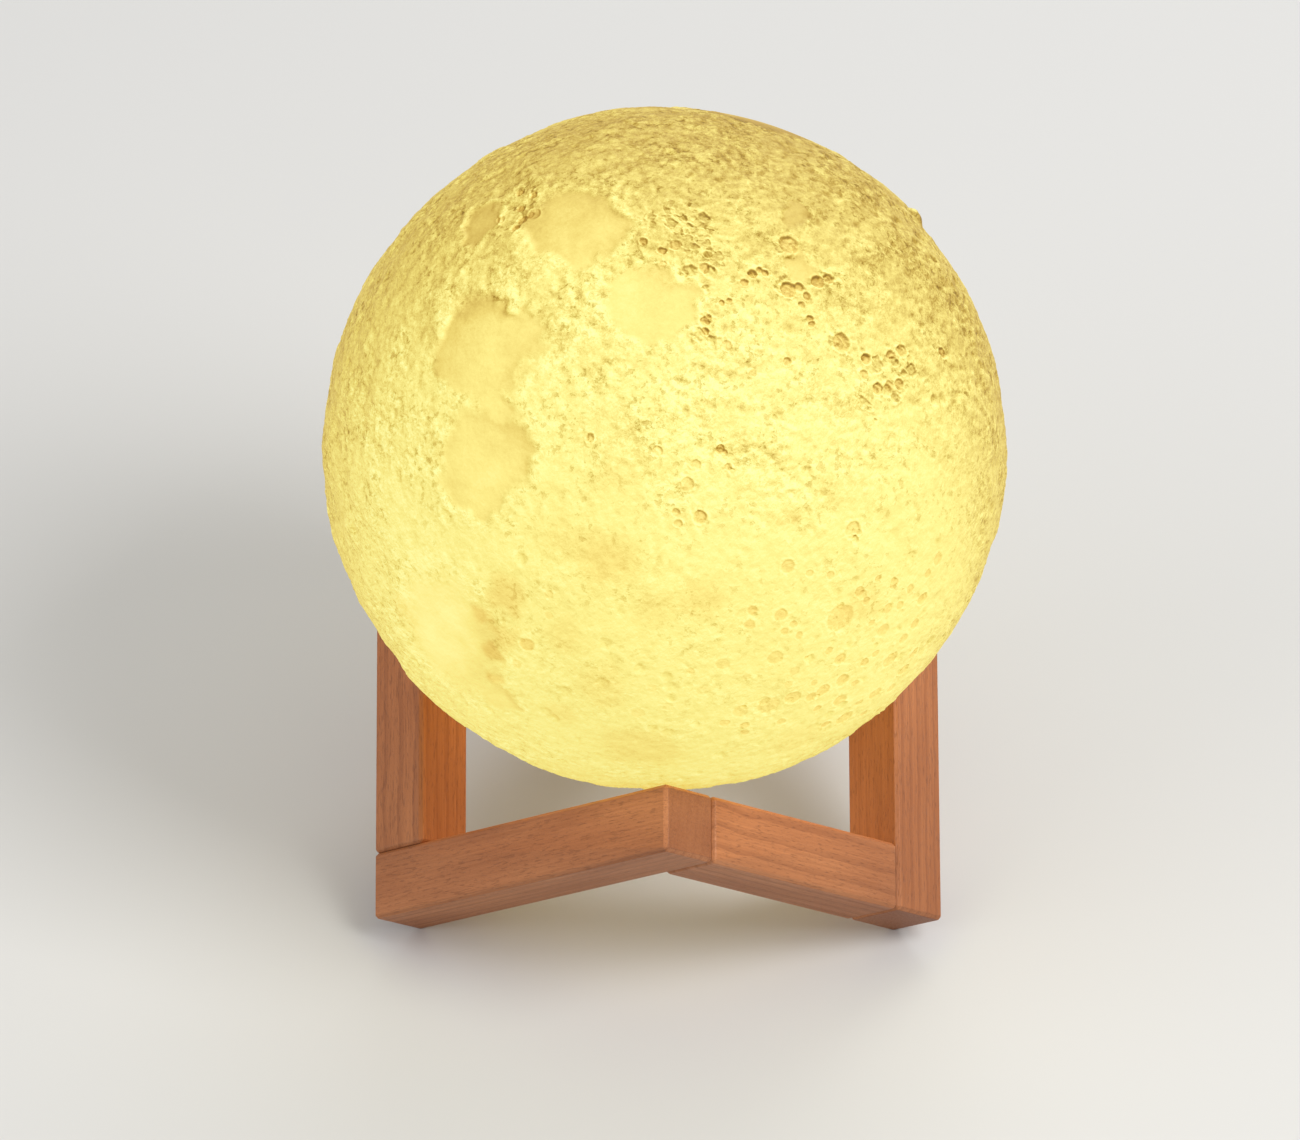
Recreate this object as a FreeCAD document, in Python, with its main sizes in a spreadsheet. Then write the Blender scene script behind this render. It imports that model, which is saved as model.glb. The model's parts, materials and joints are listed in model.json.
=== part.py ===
import FreeCAD, Part
import math
import os
import re

import Mesh
import Sketcher

# A rechargeable moon lamp: a hollow globe with the moon's relief, lit from inside by a light
# engine in its neck, that rests on a cradle of six square beech bars.
#
# Frame: +Z is up, the floor is Z = 0, and the globe's upright axis is the Z axis. -Y is the front.

Vector = FreeCAD.Vector
Placement = FreeCAD.Placement
Rotation = FreeCAD.Rotation

# Every driving size, in millimetres. Each one can be changed by itself.
SIZES = {
    # globe
    "globe_radius": 75.0,
    "shell_wall": 1.4,
    "sea_depth": 0.5,
    "crater_depth": 0.8,
    "seat_radius": 21.0,
    "opening_radius": 19.0,
    "neck_wall": 3.0,
    "neck_height": 8.0,
    # cradle
    "bar_width": 15.0,
    "bar_pitch": 75.0,
    "edge_ease": 0.8,
    "foot_flat": 1.0,
    "globe_gap": 0.3,
    "peg_side": 6.0,
    "peg_in_end": 10.5,
    "peg_fit": 0.05,
    "wood_behind_peg": 6.1,
    "glue_gap": 0.4,
    # light engine housing
    "housing_height": 30.0,
    "housing_wall": 1.6,
    "housing_ceiling": 2.0,
    "housing_edge": 1.0,
    "neck_gap": 0.3,
    "hook_width": 6.0,
    "hook_reach": 1.4,
    "hook_play": 0.1,
    "slot_width": 0.8,
    "slot_root": 3.2,
    "post_radius": 2.6,
    "post_height": 7.0,
    "post_web": 1.2,
    # base cover
    "cover_inset": 0.3,
    "cover_thick": 2.2,
    "cover_edge": 0.8,
    "sleeve_height": 8.8,
    # screws through cover, sleeve and board into the posts
    "screw_radius": 1.25,
    "screw_bite": 6.0,
    "screw_head_radius": 2.2,
    "screw_head_thick": 1.3,
    "screw_gap": 0.25,
    "thread_gap": 0.05,
    "screw_edge": 2.9,
    # power button and its switch
    "button_radius": 5.0,
    "button_gap": 0.2,
    "button_proud": 0.5,
    "button_edge": 0.4,
    "button_flange": 1.2,
    "flange_thick": 1.0,
    "button_travel": 1.2,
    "switch_side": 6.0,
    "switch_thick": 3.5,
    "plunger_radius": 1.7,
    "plunger_gap": 0.15,
    "plunger_hold": 0.5,
    "plunger_room": 0.6,
    # charging socket and charge light
    "port_offset": 10.6,
    "plug_hole_radius": 2.6,
    "socket_long": 7.0,
    "socket_wide": 6.4,
    "socket_bore_radius": 1.85,
    "socket_back": 1.3,
    "socket_pin_radius": 0.65,
    "socket_pin_recess": 1.0,
    "pipe_radius": 1.5,
    "pipe_gap": 0.1,
    "pipe_recess": 0.2,
    "charge_led_high": 0.8,
    # boards
    "board_thick": 1.6,
    "board_gap": 0.5,
    "led_board_radius": 16.0,
    "led_side": 5.0,
    "led_high": 1.4,
    "led_circle": 8.5,
    "catch_wide": 5.0,
    "catch_wall": 1.2,
    "catch_reach": 0.6,
    "catch_gap": 0.1,
    # battery and leads
    "battery_long": 26.0,
    "battery_wide": 20.0,
    "battery_thick": 6.5,
    "battery_round": 2.4,
    "pad_thick": 1.5,
    "connector_long": 5.0,
    "connector_wide": 6.0,
    "connector_high": 4.5,
    "lead_wide": 2.4,
    "lead_thick": 0.9,
    "lead_offset": 1.6,
    "lead_hole_radius": 1.6,
}

SCREW_TURNS = (90, 270)
HOOK_COUNT = 3
CATCH_COUNT = 2
LED_COUNT = 6
BAR_SIDES = ("left", "right", "back")
SHORT_BAR_SIDES = ("front", "right", "left")
ROUND_STEP = 360.0 / 3

# The globe's skins are faceted: this far from corner to corner, and this many corners round the neck.
OUTER_STEP = 5.5
INNER_STEP = 17.0
NECK_CORNERS = 48
# the relief fades out between these height angles, so that the seat ring stays round
RELIEF_ENDS = (-70.0, -58.0)

# Relief, as (turn from the front, height angle, radius in millimetres). Seas are shallow with a
# flat floor, craters are bowls. Only what is wider than the facets is here.
SEAS = (
    (-6, 62, 9.5),
    (-59, 70, 10.5),
    (-86, 57, 7.0),
    (-51, 46, 13.5),
    (-39, 31, 12.5),
    (-31, 18, 6.0),
    (-40, -5, 17.0),
    (-30, -20, 8.0),
    (62, 65, 7.0),
)
CRATERS = (
    (22, 19, 6.0),
    (29, 4, 5.0),
    (17, -11, 5.5),
    (36, -21, 5.5),
    (6, -22, 5.5),
    (85, 20, 6.5),
    (76, -12, 5.5),
    (118, 42, 7.0),
    (124, 2, 9.0),
    (112, -34, 6.5),
    (152, 23, 6.0),
    (162, -16, 8.0),
    (-160, 50, 8.5),
    (-172, 6, 5.5),
    (-146, -25, 7.0),
    (-124, 18, 7.5),
    (-108, -14, 6.0),
    (-84, 8, 5.5),
    (-66, -38, 6.0),
)

# Chips and passives on top of the main board: (x, y, length, width, height).
BOARD_CHIPS = (
    (4.0, 4.0, 5.0, 4.0, 1.2),
    (-3.5, 6.5, 4.0, 4.0, 2.2),
    (5.5, -3.0, 3.0, 2.6, 1.2),
    (0.0, -6.5, 2.0, 1.2, 0.8),
    (10.0, 1.5, 2.0, 1.2, 0.8),
    (-5.0, -9.5, 2.0, 1.2, 0.8),
)

doc = FreeCAD.newDocument("moon_lamp")
sheet = doc.addObject("Spreadsheet::Sheet", "sizes")
for row, (alias, size) in enumerate(SIZES.items(), start=1):
    sheet.set(f"A{row}", alias.replace("_", " "))
    sheet.set(f"B{row}", str(size))
    sheet.setAlias(f"B{row}", alias)
doc.recompute()

subparts = []


# ---------------------------------------------------------------- helpers


def on_sheet(formula):
    """The formula with each size's name turned into its cell on the sheet."""

    def cell(word):
        return f"sizes.{word[0]}" if word[0] in SIZES else word[0]

    return re.sub(r"[a-z_]+", cell, str(formula))


def value(formula):
    """A formula on the sizes sheet, worked out."""
    return float(sheet.evalExpression(on_sheet(formula)))


def bind(obj, **formulas):
    """The object, with its sizes held by formulas on the sheet."""
    for name, formula in formulas.items():
        obj.setExpression(name, on_sheet(formula))
    return obj


def at(x=0, y=0, z=0):
    """A place given by formulas."""
    return Placement(Vector(value(x), value(y), value(z)), Rotation())


def turned_about_z(turn):
    return Placement(Vector(), Rotation(Vector(0, 0, 1), turn))


def part(kind, name, **formulas):
    return bind(doc.addObject(f"Part::{kind}", name), **formulas)


def block(name, length, width, height):
    """A box centred on its own upright axis that stands on its own ground plane."""
    box = part("Box", name, Length=length, Width=width, Height=height)
    box.Placement = at(f"-({length}) / 2", f"-({width}) / 2")
    return box


def cut(name, base, *tools):
    """The base with the tools taken away."""
    if len(tools) > 1:
        tool = doc.addObject("Part::MultiFuse", name + "_tools")
        tool.Shapes = list(tools)
    else:
        tool = tools[0]
    result = doc.addObject("Part::Cut", name)
    result.Base = base
    result.Tool = tool
    return result


def group(name, pieces):
    """Separate solids of one kind, kept together."""
    result = doc.addObject("Part::Compound", name)
    result.Links = pieces
    return result


def subpart(obj, label, place=None):
    """Marks an object as a finished sub-part and sets it down at its place."""
    obj.Label = label
    if place is not None:
        obj.Placement = place
    subparts.append(obj)
    return obj


# ------------------------------------------------- sketches and features


def origin_feature(body, role):
    return next(f for f in body.Origin.OriginFeatures if f.Role == role)


def sketch_on(body, plane, height=0):
    """An empty sketch on one of the body's own planes, a height above it."""
    sketch = body.newObject("Sketcher::SketchObject", f"{body.Name}_sketch")
    sketch.AttachmentSupport = (origin_feature(body, plane), "")
    sketch.MapMode = "FlatFace"
    return bind(sketch, **{"AttachmentOffset.Base.z": height})


def hold(sketch, kind, *where, formula):
    """A dimension on the sketch that follows a formula on the sheet."""
    number = sketch.addConstraint(Sketcher.Constraint(kind, *where, value(formula)))
    bind(sketch, **{f"Constraints[{number}]": formula})


def outline(body, plane, corners, height=0):
    """A closed outline through corners given as pairs of formulas."""
    sketch = sketch_on(body, plane, height)
    places = [Vector(value(x), value(y), 0) for x, y in corners]
    for index, start in enumerate(places):
        sketch.addGeometry(Part.LineSegment(start, places[(index + 1) % len(places)]))
    for index, (x, y) in enumerate(corners):
        sketch.addConstraint(Sketcher.Constraint("Coincident", index, 2, (index + 1) % len(places), 1))
        hold(sketch, "DistanceX", -1, 1, index, 1, formula=x)
        hold(sketch, "DistanceY", -1, 1, index, 1, formula=y)
    return sketch


def circles(body, plane, rounds, height=0):
    """Circles given as (x, y, radius) formulas."""
    sketch = sketch_on(body, plane, height)
    for x, y, radius in rounds:
        circle = Part.Circle(Vector(value(x), value(y), 0), Vector(0, 0, 1), value(radius))
        index = sketch.addGeometry(circle)
        hold(sketch, "Radius", index, formula=radius)
        hold(sketch, "DistanceX", -1, 1, index, 3, formula=x)
        hold(sketch, "DistanceY", -1, 1, index, 3, formula=y)
    return sketch


def feature(body, kind, sketch, length, reversed_way=False, midplane=False):
    """A pad or pocket of a sketch."""
    result = body.newObject(f"PartDesign::{kind}", f"{body.Name}_{kind.lower()}")
    result.Profile = sketch
    result.Type = 0
    result.Reversed = reversed_way
    result.Midplane = midplane
    return bind(result, Length=length)


def turned(name, corners):
    """A body turned about its upright axis from a half outline of (radius, height) formulas."""
    body = doc.addObject("PartDesign::Body", name)
    revolution = body.newObject("PartDesign::Revolution", f"{name}_turn")
    revolution.Profile = outline(body, "XZ_Plane", corners)
    revolution.ReferenceAxis = (revolution.Profile[0], ["V_Axis"])
    revolution.Angle = 360
    body.Tip = revolution
    return body


def round_the_axis(body, originals, count):
    """The features again, evenly spaced round the body's upright axis."""
    pattern = body.newObject("PartDesign::PolarPattern", f"{body.Name}_pattern")
    pattern.Originals = originals
    pattern.Axis = (origin_feature(body, "Z_Axis"), [""])
    pattern.Angle = 360
    pattern.Occurrences = count
    body.Tip = pattern
    return pattern


# ----------------------------------------------------------------- cradle

# The cradle is a ring of six bars along the edges of a cube that stands on a corner, so three
# square directions lean alike and the bars' six corners are in turn low and high.
LEAN = (
    Vector(-math.sqrt(1 / 2), -math.sqrt(1 / 6), math.sqrt(1 / 3)),
    Vector(math.sqrt(1 / 2), -math.sqrt(1 / 6), math.sqrt(1 / 3)),
    Vector(0, math.sqrt(2 / 3), math.sqrt(1 / 3)),
)

half_bar = value("bar_width / 2")
half_pitch = value("bar_pitch / 2")
# the sharp tip of a foot is this far under the cube's centre, before it is cut flat
cradle_height = (half_pitch + 3 * half_bar) / math.sqrt(3) - value("foot_flat")


def seat_distance():
    """How far up each leaning direction the globe's centre lies when its skin, and a small gap,
    meets the three high corners."""
    reach = value("globe_radius + globe_gap")
    near = half_pitch - half_bar
    far = half_pitch + half_bar
    if reach - near <= far:
        return reach - near
    inside = (near - 2 * far) ** 2 - 3 * (near**2 + 2 * far**2 - reach**2)
    return (math.sqrt(inside) - (near - 2 * far)) / 3


globe_height = seat_distance() * math.sqrt(3) + cradle_height


def leaning(along, across, up, centre):
    """A place in the cradle, from its own three directions and its centre along the three leans."""
    where = LEAN[0] * centre[0] + LEAN[1] * centre[1] + LEAN[2] * centre[2]
    return Placement(where + Vector(0, 0, cradle_height), Rotation(along, across, up, "ZXY"))


LONG_BAR_PLACE = leaning(LEAN[1], LEAN[0] * -1, LEAN[2], (half_pitch, 0, -half_pitch))
SHORT_BAR_PLACE = leaning(LEAN[0], LEAN[1], LEAN[2], (0, half_pitch, -half_pitch))


def eased_bar(name, length):
    """A square bar along X, centred on its middle, with every edge eased."""
    bar = part("Box", f"{name}_stock", Length=length, Width="bar_width", Height="bar_width")
    bar.Placement = at(f"-({length}) / 2", "-bar_width / 2", "-bar_width / 2")
    eased = doc.addObject("Part::Chamfer", f"{name}_eased")
    eased.Base = bar
    doc.recompute()
    ease = value("edge_ease")
    eased.Edges = [(edge, ease, ease) for edge in range(1, len(bar.Shape.Edges) + 1)]
    return eased


def mortise(name, x, y, z, way, depth):
    """A square hole for a peg that starts at x, y, z and runs the given way into the wood."""
    side = "peg_side + 2 * peg_fit"
    hole = block(name, side, side, depth)
    hole.Placement = Placement(at(x, y, z).Base, Rotation(Vector(0, 0, 1), way)) * hole.Placement
    return hole


PEG_IN_SIDE = "(bar_width - wood_behind_peg - glue_gap)"
SIDE_MORTISE = f"{PEG_IN_SIDE} + glue_gap"
END_MORTISE = "peg_in_end + glue_gap"


def long_bar(side, turn):
    """A bar that runs through at both ends, with a short bar against two of its sides and its
    low corner cut flat to stand on."""
    name = f"long_bar_{side}"
    bar = eased_bar(name, "bar_pitch + bar_width")
    mortises = (
        mortise(f"{name}_mortise_1", "bar_pitch / 2", "bar_width / 2", 0, Vector(0, -1, 0), SIDE_MORTISE),
        mortise(f"{name}_mortise_2", "-bar_pitch / 2", 0, "bar_width / 2", Vector(0, 0, -1), SIDE_MORTISE),
    )
    worked = cut(f"{name}_worked", bar, *mortises)
    worked.Placement = turned_about_z(turn) * LONG_BAR_PLACE
    floor = part("Box", f"{name}_floor", Length="4 * bar_pitch", Width="4 * bar_pitch", Height="bar_pitch")
    floor.Placement = at("-2 * bar_pitch", "-2 * bar_pitch", "-bar_pitch")
    subpart(cut(name, worked, floor), name)


def short_bar(side, turn):
    """A bar whose two ends butt against the sides of long bars."""
    name = f"short_bar_{side}"
    length = "bar_pitch - bar_width"
    bar = eased_bar(name, length)
    mortises = (
        mortise(f"{name}_mortise_1", f"({length}) / 2", 0, 0, Vector(-1, 0, 0), END_MORTISE),
        mortise(f"{name}_mortise_2", f"-({length}) / 2", 0, 0, Vector(1, 0, 0), END_MORTISE),
    )
    subpart(cut(name, bar, *mortises), name, turned_about_z(turn) * SHORT_BAR_PLACE)


def stand_pegs():
    """The six hidden square pegs, one across each joint between a short bar and a long one."""
    pegs = []
    for turn in range(3):
        for end in (1, -1):
            peg = block(f"peg_{len(pegs) + 1}", "peg_side", "peg_side", f"peg_in_end + {PEG_IN_SIDE}")
            start = Vector(end * value("(bar_pitch - bar_width) / 2 - peg_in_end"), 0, 0)
            along = Placement(start, Rotation(Vector(0, 0, 1), Vector(end, 0, 0)))
            peg.Placement = turned_about_z(turn * ROUND_STEP) * SHORT_BAR_PLACE * along * peg.Placement
            pegs.append(peg)
    subpart(group("stand_pegs", pegs), "stand_pegs")


# ------------------------------------------------------------------ globe


def direction(turn, height):
    """The unit direction at a turn from the front and a height angle, both in degrees."""
    level = math.cos(math.radians(height))
    return Vector(
        level * math.sin(math.radians(turn)),
        -level * math.cos(math.radians(turn)),
        math.sin(math.radians(height)),
    )


def relief(turn, height):
    """How deep the skin lies under the globe's full radius, in the given direction."""
    way = direction(turn, height)
    depth = 0
    for sea_turn, sea_height, radius in SEAS:
        share = way.getAngle(direction(sea_turn, sea_height)) * GLOBE_RADIUS / radius
        depth = max(depth, SEA_DEPTH * min(1, max(0, 3.5 * (1 - share))))
    for crater_turn, crater_height, radius in CRATERS:
        share = way.getAngle(direction(crater_turn, crater_height)) * GLOBE_RADIUS / radius
        depth = max(depth, CRATER_DEPTH * max(0, 1 - share**2))
    smooth_to, full_from = RELIEF_ENDS
    return depth * min(1, max(0, (height - smooth_to) / (full_from - smooth_to)))


def skin_rings(from_height, step, radius_at):
    """Rings of points over a ball, from a height angle up to its top."""
    radius = radius_at(0, 90)
    rows = round(math.radians(90 - from_height) * radius / step)
    rings = []
    for row in range(rows):
        height = from_height + (90 - from_height) * row / rows
        count = max(6, round(2 * math.pi * math.cos(math.radians(height)) * radius / step))
        turns = [360 * (number + row % 2 / 2) / count for number in range(count)]
        rings.append([direction(turn, height) * radius_at(turn, height) for turn in turns])
    return rings + [[direction(0, 90) * radius]]


def level_ring(radius, height):
    """The neck's corners at one radius and height."""
    turns = [360 * number / NECK_CORNERS for number in range(NECK_CORNERS)]
    return [direction(turn, 0) * radius + Vector(0, 0, height) for turn in turns]


def strip(first, second):
    """Triangles between two rings that need not have as many points."""
    triangles = []
    i = j = 0
    while i < len(first) or j < len(second):
        here = first[i % len(first)]
        there = second[j % len(second)]
        if len(second) == 1 or (len(first) > 1 and (i + 1) / len(first) <= (j + 1) / len(second)):
            i += 1
            triangles.append([here, there, first[i % len(first)]])
            if len(second) == 1 and i == len(first):
                break
        else:
            j += 1
            triangles.append([here, there, second[j % len(second)]])
            if len(first) == 1 and j == len(second):
                break
    return triangles


GLOBE_RADIUS = value("globe_radius")
SEA_DEPTH = value("sea_depth")
CRATER_DEPTH = value("crater_depth")
BASE_DROP = "sqrt(globe_radius^2 - seat_radius^2)"
BASE = globe_height - value(BASE_DROP)


def moon_shell():
    """The globe's thin shell, flat under the seat ring, with a neck that holds the light engine.
    One closed skin of facets: down the outside, up the neck's bore and over the inside."""
    ground = -value(BASE_DROP)
    seat = value("seat_radius")
    bore = value("opening_radius")
    neck = value("opening_radius + neck_wall")
    neck_top = ground + value("neck_height")
    hollow = value("globe_radius - crater_depth - shell_wall")
    neck_foot = -math.sqrt(hollow**2 - neck**2)

    outside_from = math.degrees(math.asin(ground / GLOBE_RADIUS))
    outside = skin_rings(outside_from, OUTER_STEP, lambda turn, height: GLOBE_RADIUS - relief(turn, height))
    inside_from = math.degrees(math.asin(neck_foot / hollow))
    inside = skin_rings(inside_from, INNER_STEP, lambda turn, height: hollow)

    rings = outside[:0:-1]
    rings += [level_ring(seat, ground), level_ring(bore, ground)]
    rings += [level_ring(bore, neck_top), level_ring(neck, neck_top)]
    rings += [level_ring(neck, neck_foot)] + inside[1:]
    triangles = []
    for first, second in zip(rings, rings[1:]):
        triangles += strip(first, second)
    surface = Part.Shape()
    surface.makeShapeFromMesh(Mesh.Mesh(triangles).Topology, 0.001)
    solid = Part.Solid(surface)
    if solid.Volume < 0:
        solid.reverse()
    shell = doc.addObject("Part::Feature", "moon_shell")
    shell.Shape = solid.removeSplitter()
    subpart(shell, "moon_shell", Placement(Vector(0, 0, globe_height), Rotation()))


# ----------------------------------------------------------- light engine

# The light engine's own ground plane is the flat seat ring under the globe.
ENGINE_PLACE = Placement(Vector(0, 0, BASE), Rotation())

HOUSING_RADIUS = "(opening_radius - neck_gap)"
HOUSING_INSIDE = "(opening_radius - neck_gap - housing_wall)"
CEILING_UNDER = "(housing_height - housing_ceiling)"
SCREW_CIRCLE = f"({HOUSING_INSIDE} - screw_edge)"
SCREW_HOLE = "(screw_radius + screw_gap)"
BOARD_TOP = "(sleeve_height + board_thick)"
HEAD_SEAT = "(screw_head_thick + glue_gap / 2)"
HOOK_UNDER = "(neck_height + hook_play)"
LEAD_PLACE = "(battery_long / 2 + lead_offset)"


def engine(obj, label):
    return subpart(obj, label, ENGINE_PLACE)


def raised(obj, z, x=0, y=0):
    """The object set down in the light engine's frame."""
    obj.Placement = at(x, y, z) * obj.Placement
    return obj


def engine_housing():
    """A moulded cup, open below, with three snap hooks that catch over the globe's neck, two screw
    posts on webs and, on its roof, two catches for the light board."""
    body = turned(
        "engine_housing",
        (
            (HOUSING_INSIDE, 0),
            (HOUSING_RADIUS, 0),
            (HOUSING_RADIUS, "housing_height - housing_edge"),
            (f"{HOUSING_RADIUS} - housing_edge", "housing_height"),
            (0, "housing_height"),
            (0, CEILING_UNDER),
            (HOUSING_INSIDE, CEILING_UNDER),
        ),
    )
    # a slot down both sides and over the top of each hook's tongue
    half = "hook_width / 2"
    far = "(hook_width / 2 + slot_width)"
    top = f"({HOOK_UNDER} + 2 * hook_reach)"
    slot_corners = (
        (f"-{far}", "slot_root"),
        (f"-{half}", "slot_root"),
        (f"-{half}", top),
        (half, top),
        (half, "slot_root"),
        (far, "slot_root"),
        (far, f"{top} + slot_width"),
        (f"-{far}", f"{top} + slot_width"),
    )
    slot = feature(body, "Pocket", outline(body, "YZ_Plane", slot_corners), "opening_radius", True)
    # the hook: flat below, sloped above so that it slides up through the neck
    hook_corners = (
        (f"{HOUSING_RADIUS} - housing_wall / 2", HOOK_UNDER),
        (f"{HOUSING_RADIUS} + hook_reach", HOOK_UNDER),
        (f"{HOUSING_RADIUS} + hook_reach", f"{HOOK_UNDER} + hook_reach / 2"),
        (f"{HOUSING_RADIUS} - housing_wall / 2", top),
    )
    hook = feature(body, "Pad", outline(body, "XZ_Plane", hook_corners), "hook_width", midplane=True)
    round_the_axis(body, [slot, hook], HOOK_COUNT)

    post_round = [(0, SCREW_CIRCLE, "post_radius")]
    post = feature(body, "Pad", circles(body, "XY_Plane", post_round, BOARD_TOP), "post_height")
    web_corners = (
        ("-post_web / 2", SCREW_CIRCLE),
        ("post_web / 2", SCREW_CIRCLE),
        ("post_web / 2", f"{HOUSING_INSIDE} + housing_wall / 4"),
        ("-post_web / 2", f"{HOUSING_INSIDE} + housing_wall / 4"),
    )
    web = feature(body, "Pad", outline(body, "XY_Plane", web_corners, BOARD_TOP), "post_height")
    pilot_round = [(0, SCREW_CIRCLE, "screw_radius + thread_gap")]
    pilot_sketch = circles(body, "XY_Plane", pilot_round, BOARD_TOP)
    pilot = feature(body, "Pocket", pilot_sketch, "screw_bite + glue_gap", True)
    round_the_axis(body, [post, web, pilot], len(SCREW_TURNS))

    # the catches clip over the light board's edge
    edge = "(led_board_radius + catch_gap)"
    board_face = "(housing_height + board_thick + catch_gap)"
    catch_corners = (
        (edge, "housing_height - housing_ceiling / 2"),
        (f"{edge} + catch_wall", "housing_height - housing_ceiling / 2"),
        (f"{edge} + catch_wall", f"{board_face} + catch_wall"),
        (f"{edge} - catch_reach", f"{board_face} + catch_wall / 3"),
        (f"{edge} - catch_reach", board_face),
        (edge, board_face),
    )
    catch = feature(body, "Pad", outline(body, "YZ_Plane", catch_corners), "catch_wide", midplane=True)
    round_the_axis(body, [catch], CATCH_COUNT)

    lead_round = [(LEAD_PLACE, 0, "lead_hole_radius")]
    ceiling = circles(body, "XY_Plane", lead_round, "housing_height")
    body.Tip = feature(body, "Pocket", ceiling, "housing_ceiling")
    engine(body, "engine_housing")


def base_cover():
    """The round cover under the globe: two screw sleeves that carry the main board, and holes for
    the button, the charging plug and the charge light."""
    radius = "(seat_radius - cover_inset)"
    body = turned(
        "base_cover",
        (
            (0, "-cover_thick"),
            (f"{radius} - cover_edge", "-cover_thick"),
            (radius, "-cover_thick + cover_edge"),
            (radius, 0),
            (0, 0),
        ),
    )
    sleeve_round = [(0, SCREW_CIRCLE, "post_radius")]
    sleeve = feature(body, "Pad", circles(body, "XY_Plane", sleeve_round), "sleeve_height")
    hole_sketch = circles(body, "XY_Plane", [(0, SCREW_CIRCLE, SCREW_HOLE)], "sleeve_height")
    hole = feature(body, "Pocket", hole_sketch, "sleeve_height + cover_thick")
    seat_round = [(0, SCREW_CIRCLE, "screw_head_radius + screw_gap")]
    seat_sketch = circles(body, "XY_Plane", seat_round, "-cover_thick")
    seat = feature(body, "Pocket", seat_sketch, HEAD_SEAT, True)
    round_the_axis(body, [sleeve, hole, seat], len(SCREW_TURNS))

    holes = [
        (0, 0, "button_radius + button_gap"),
        ("port_offset", 0, "plug_hole_radius"),
        ("-port_offset", 0, "pipe_radius + pipe_gap"),
    ]
    body.Tip = feature(body, "Pocket", circles(body, "XY_Plane", holes), "cover_thick")
    engine(body, "base_cover")


def cover_screws():
    """Two screws, each up through the cover, its sleeve and the board into a post."""
    head_top = f"({HEAD_SEAT} - cover_thick)"
    tip = f"({BOARD_TOP} + screw_bite)"
    corners = (
        (0, f"{head_top} - screw_head_thick"),
        ("screw_head_radius", f"{head_top} - screw_head_thick"),
        ("screw_head_radius", head_top),
        ("screw_radius", head_top),
        ("screw_radius", tip),
        (0, tip),
    )
    screws = []
    for turn in SCREW_TURNS:
        screw = turned(f"cover_screw_{turn}", corners)
        screw.Placement = turned_about_z(turn) * at(x=SCREW_CIRCLE)
        screws.append(screw)
    engine(group("cover_screws", screws), "cover_screws")


def power_button():
    """A push button in the middle of the cover, kept in by its flange."""
    body = turned(
        "power_button",
        (
            (0, "-cover_thick - button_proud"),
            ("button_radius - button_edge", "-cover_thick - button_proud"),
            ("button_radius", "-cover_thick - button_proud + button_edge"),
            ("button_radius", 0),
            ("button_radius + button_flange", 0),
            ("button_radius + button_flange", "flange_thick"),
            (0, "flange_thick"),
        ),
    )
    engine(body, "power_button")


def switch():
    """The push switch under the board: a body with a blind bore and the plunger in it."""
    foot = "sleeve_height - switch_thick"
    body = raised(block("switch_block", "switch_side", "switch_side", "switch_thick"), foot)
    bore_depth = "plunger_hold + button_travel + plunger_room"
    bore = part("Cylinder", "switch_bore", Radius="plunger_radius + plunger_gap", Height=bore_depth)
    raised(bore, foot)
    engine(cut("switch_body", body, bore), "switch_body")

    length = "sleeve_height - switch_thick + plunger_hold - flange_thick"
    plunger = part("Cylinder", "switch_plunger", Radius="plunger_radius", Height=length)
    subpart(plunger, "switch_plunger", ENGINE_PLACE * at(z="flange_thick"))


def charge_socket():
    """The round charging socket, mouth down behind the plug hole, with its middle pin."""
    body = raised(block("socket_block", "socket_long", "socket_wide", "sleeve_height"), 0, "port_offset")
    depth = "sleeve_height - socket_back"
    bore = part("Cylinder", "socket_bore", Radius="socket_bore_radius", Height=depth)
    engine(cut("charge_socket", body, raised(bore, 0, "port_offset")), "charge_socket")
    pin = part("Cylinder", "socket_pin", Radius="socket_pin_radius", Height=f"{depth} - socket_pin_recess")
    subpart(pin, "socket_pin", ENGINE_PLACE * at("port_offset", 0, "socket_pin_recess"))


def charge_light():
    """The charge light under the board, and the clear pipe that leads it out of the cover."""
    under = "sleeve_height - charge_led_high"
    led = block("charge_led", "2 * pipe_radius", "pipe_radius", "charge_led_high")
    raised(led, under, "-port_offset")
    subpart(led, "charge_led", ENGINE_PLACE * led.Placement)
    length = f"{under} - glue_gap / 2 + cover_thick - pipe_recess"
    pipe = part("Cylinder", "charge_light_pipe", Radius="pipe_radius", Height=length)
    place = at("-port_offset", 0, "pipe_recess - cover_thick")
    subpart(pipe, "charge_light_pipe", ENGINE_PLACE * place)


def main_board():
    """The round board on the cover's sleeves, with a hole for each screw."""
    body = doc.addObject("PartDesign::Body", "main_board")
    radius = f"{HOUSING_INSIDE} - board_gap"
    disc = feature(body, "Pad", circles(body, "XY_Plane", [(0, 0, radius)], "sleeve_height"), "board_thick")
    hole_sketch = circles(body, "XY_Plane", [(0, SCREW_CIRCLE, SCREW_HOLE)], "sleeve_height")
    hole = feature(body, "Pocket", hole_sketch, "board_thick", True)
    round_the_axis(body, [hole], len(SCREW_TURNS))
    engine(body, "main_board")


def board_chips():
    """The charger chip, its coil and a few passives on top of the board."""
    chips = []
    for number, (x, y, length, width, height) in enumerate(BOARD_CHIPS, start=1):
        chips.append(raised(block(f"chip_{number}", length, width, height), BOARD_TOP, x, y))
    engine(group("board_chips", chips), "board_chips")


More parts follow.
